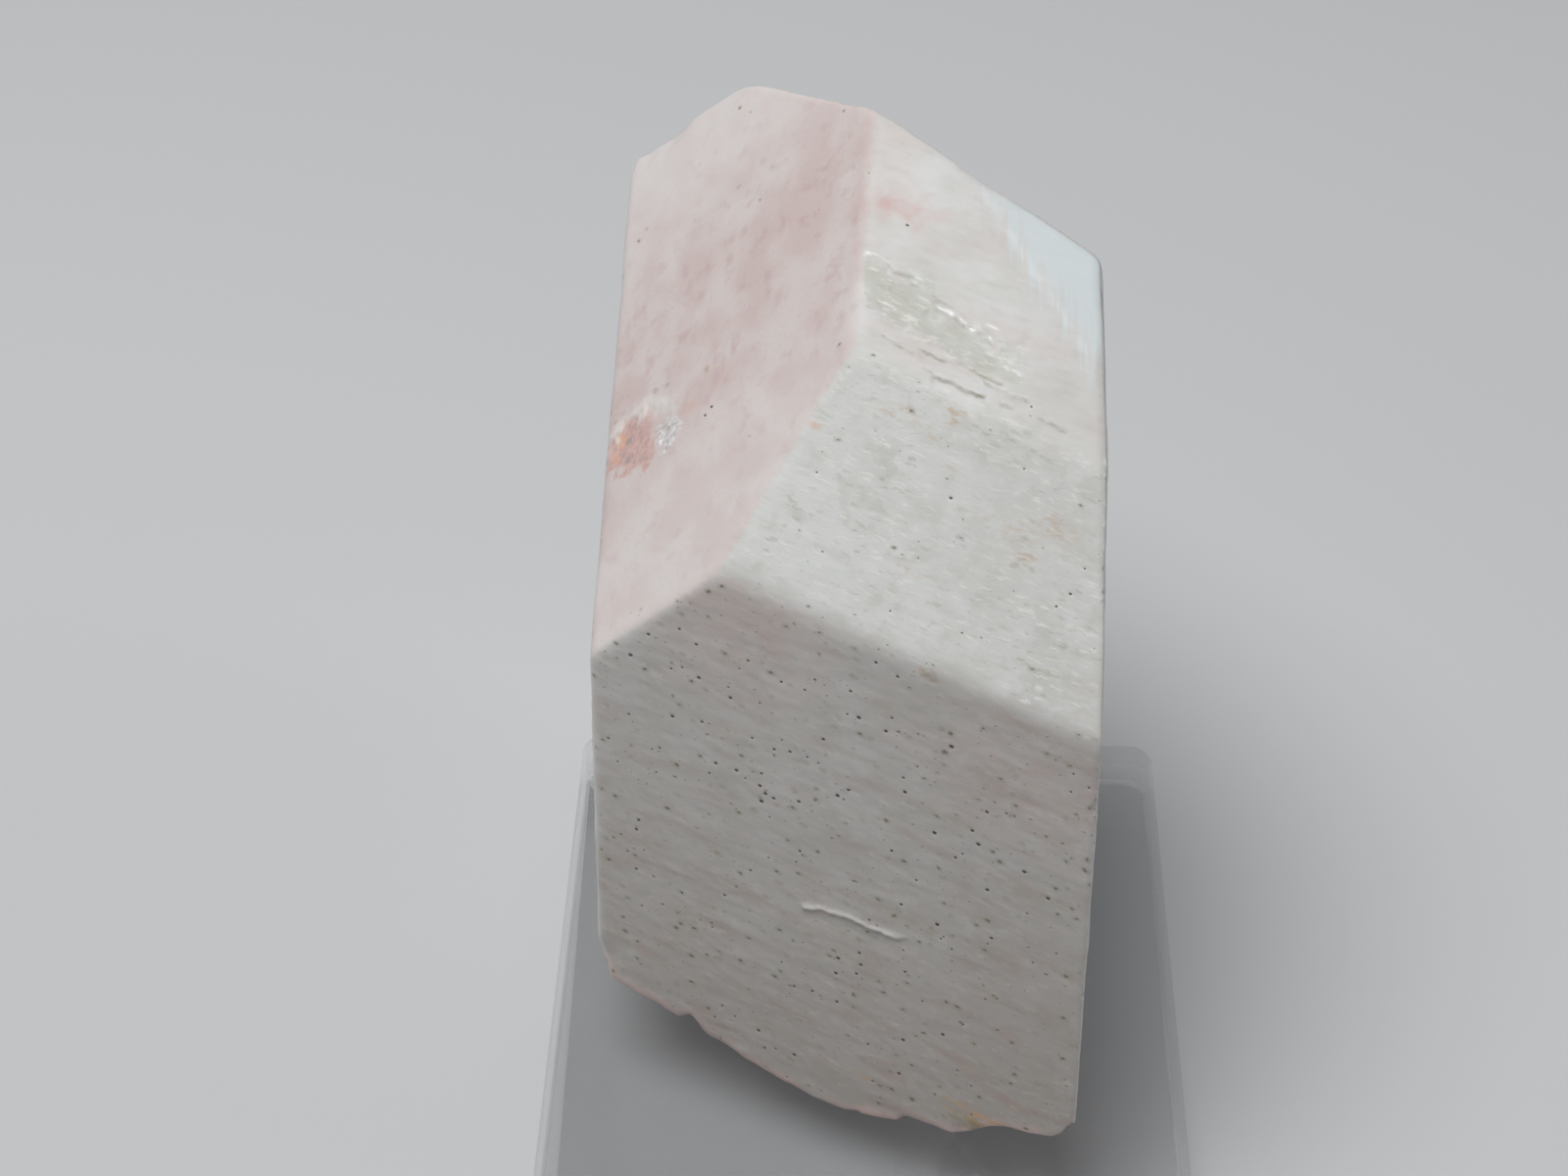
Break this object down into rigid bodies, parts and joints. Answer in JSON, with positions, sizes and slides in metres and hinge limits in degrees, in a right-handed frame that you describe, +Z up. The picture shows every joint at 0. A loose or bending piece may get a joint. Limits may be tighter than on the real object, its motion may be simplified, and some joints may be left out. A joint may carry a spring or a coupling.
{
  "type": "orthoclase crystal specimen",
  "caption": "Blocky pale pink feldspar crystal with flat faces, standing on its broken base on a small square plate of clear acrylic.",
  "frame": {"origin": "middle of the footprint at the bottom of the plate", "axes": "+Z up, +Y runs away from the viewer towards the crystal's back, +X to the viewer's right"},
  "size_m": [0.0322, 0.0455, 0.0432],
  "materials": {
    "feldspar": "satin natural crystal faces, pale pink to off-white, finely pitted",
    "clear_acrylic": "clear polished acrylic sheet"
  },
  "bodies": {
    "root": {"crystal": "feldspar", "stand_plate": "clear_acrylic"}
  },
  "joints": []
}
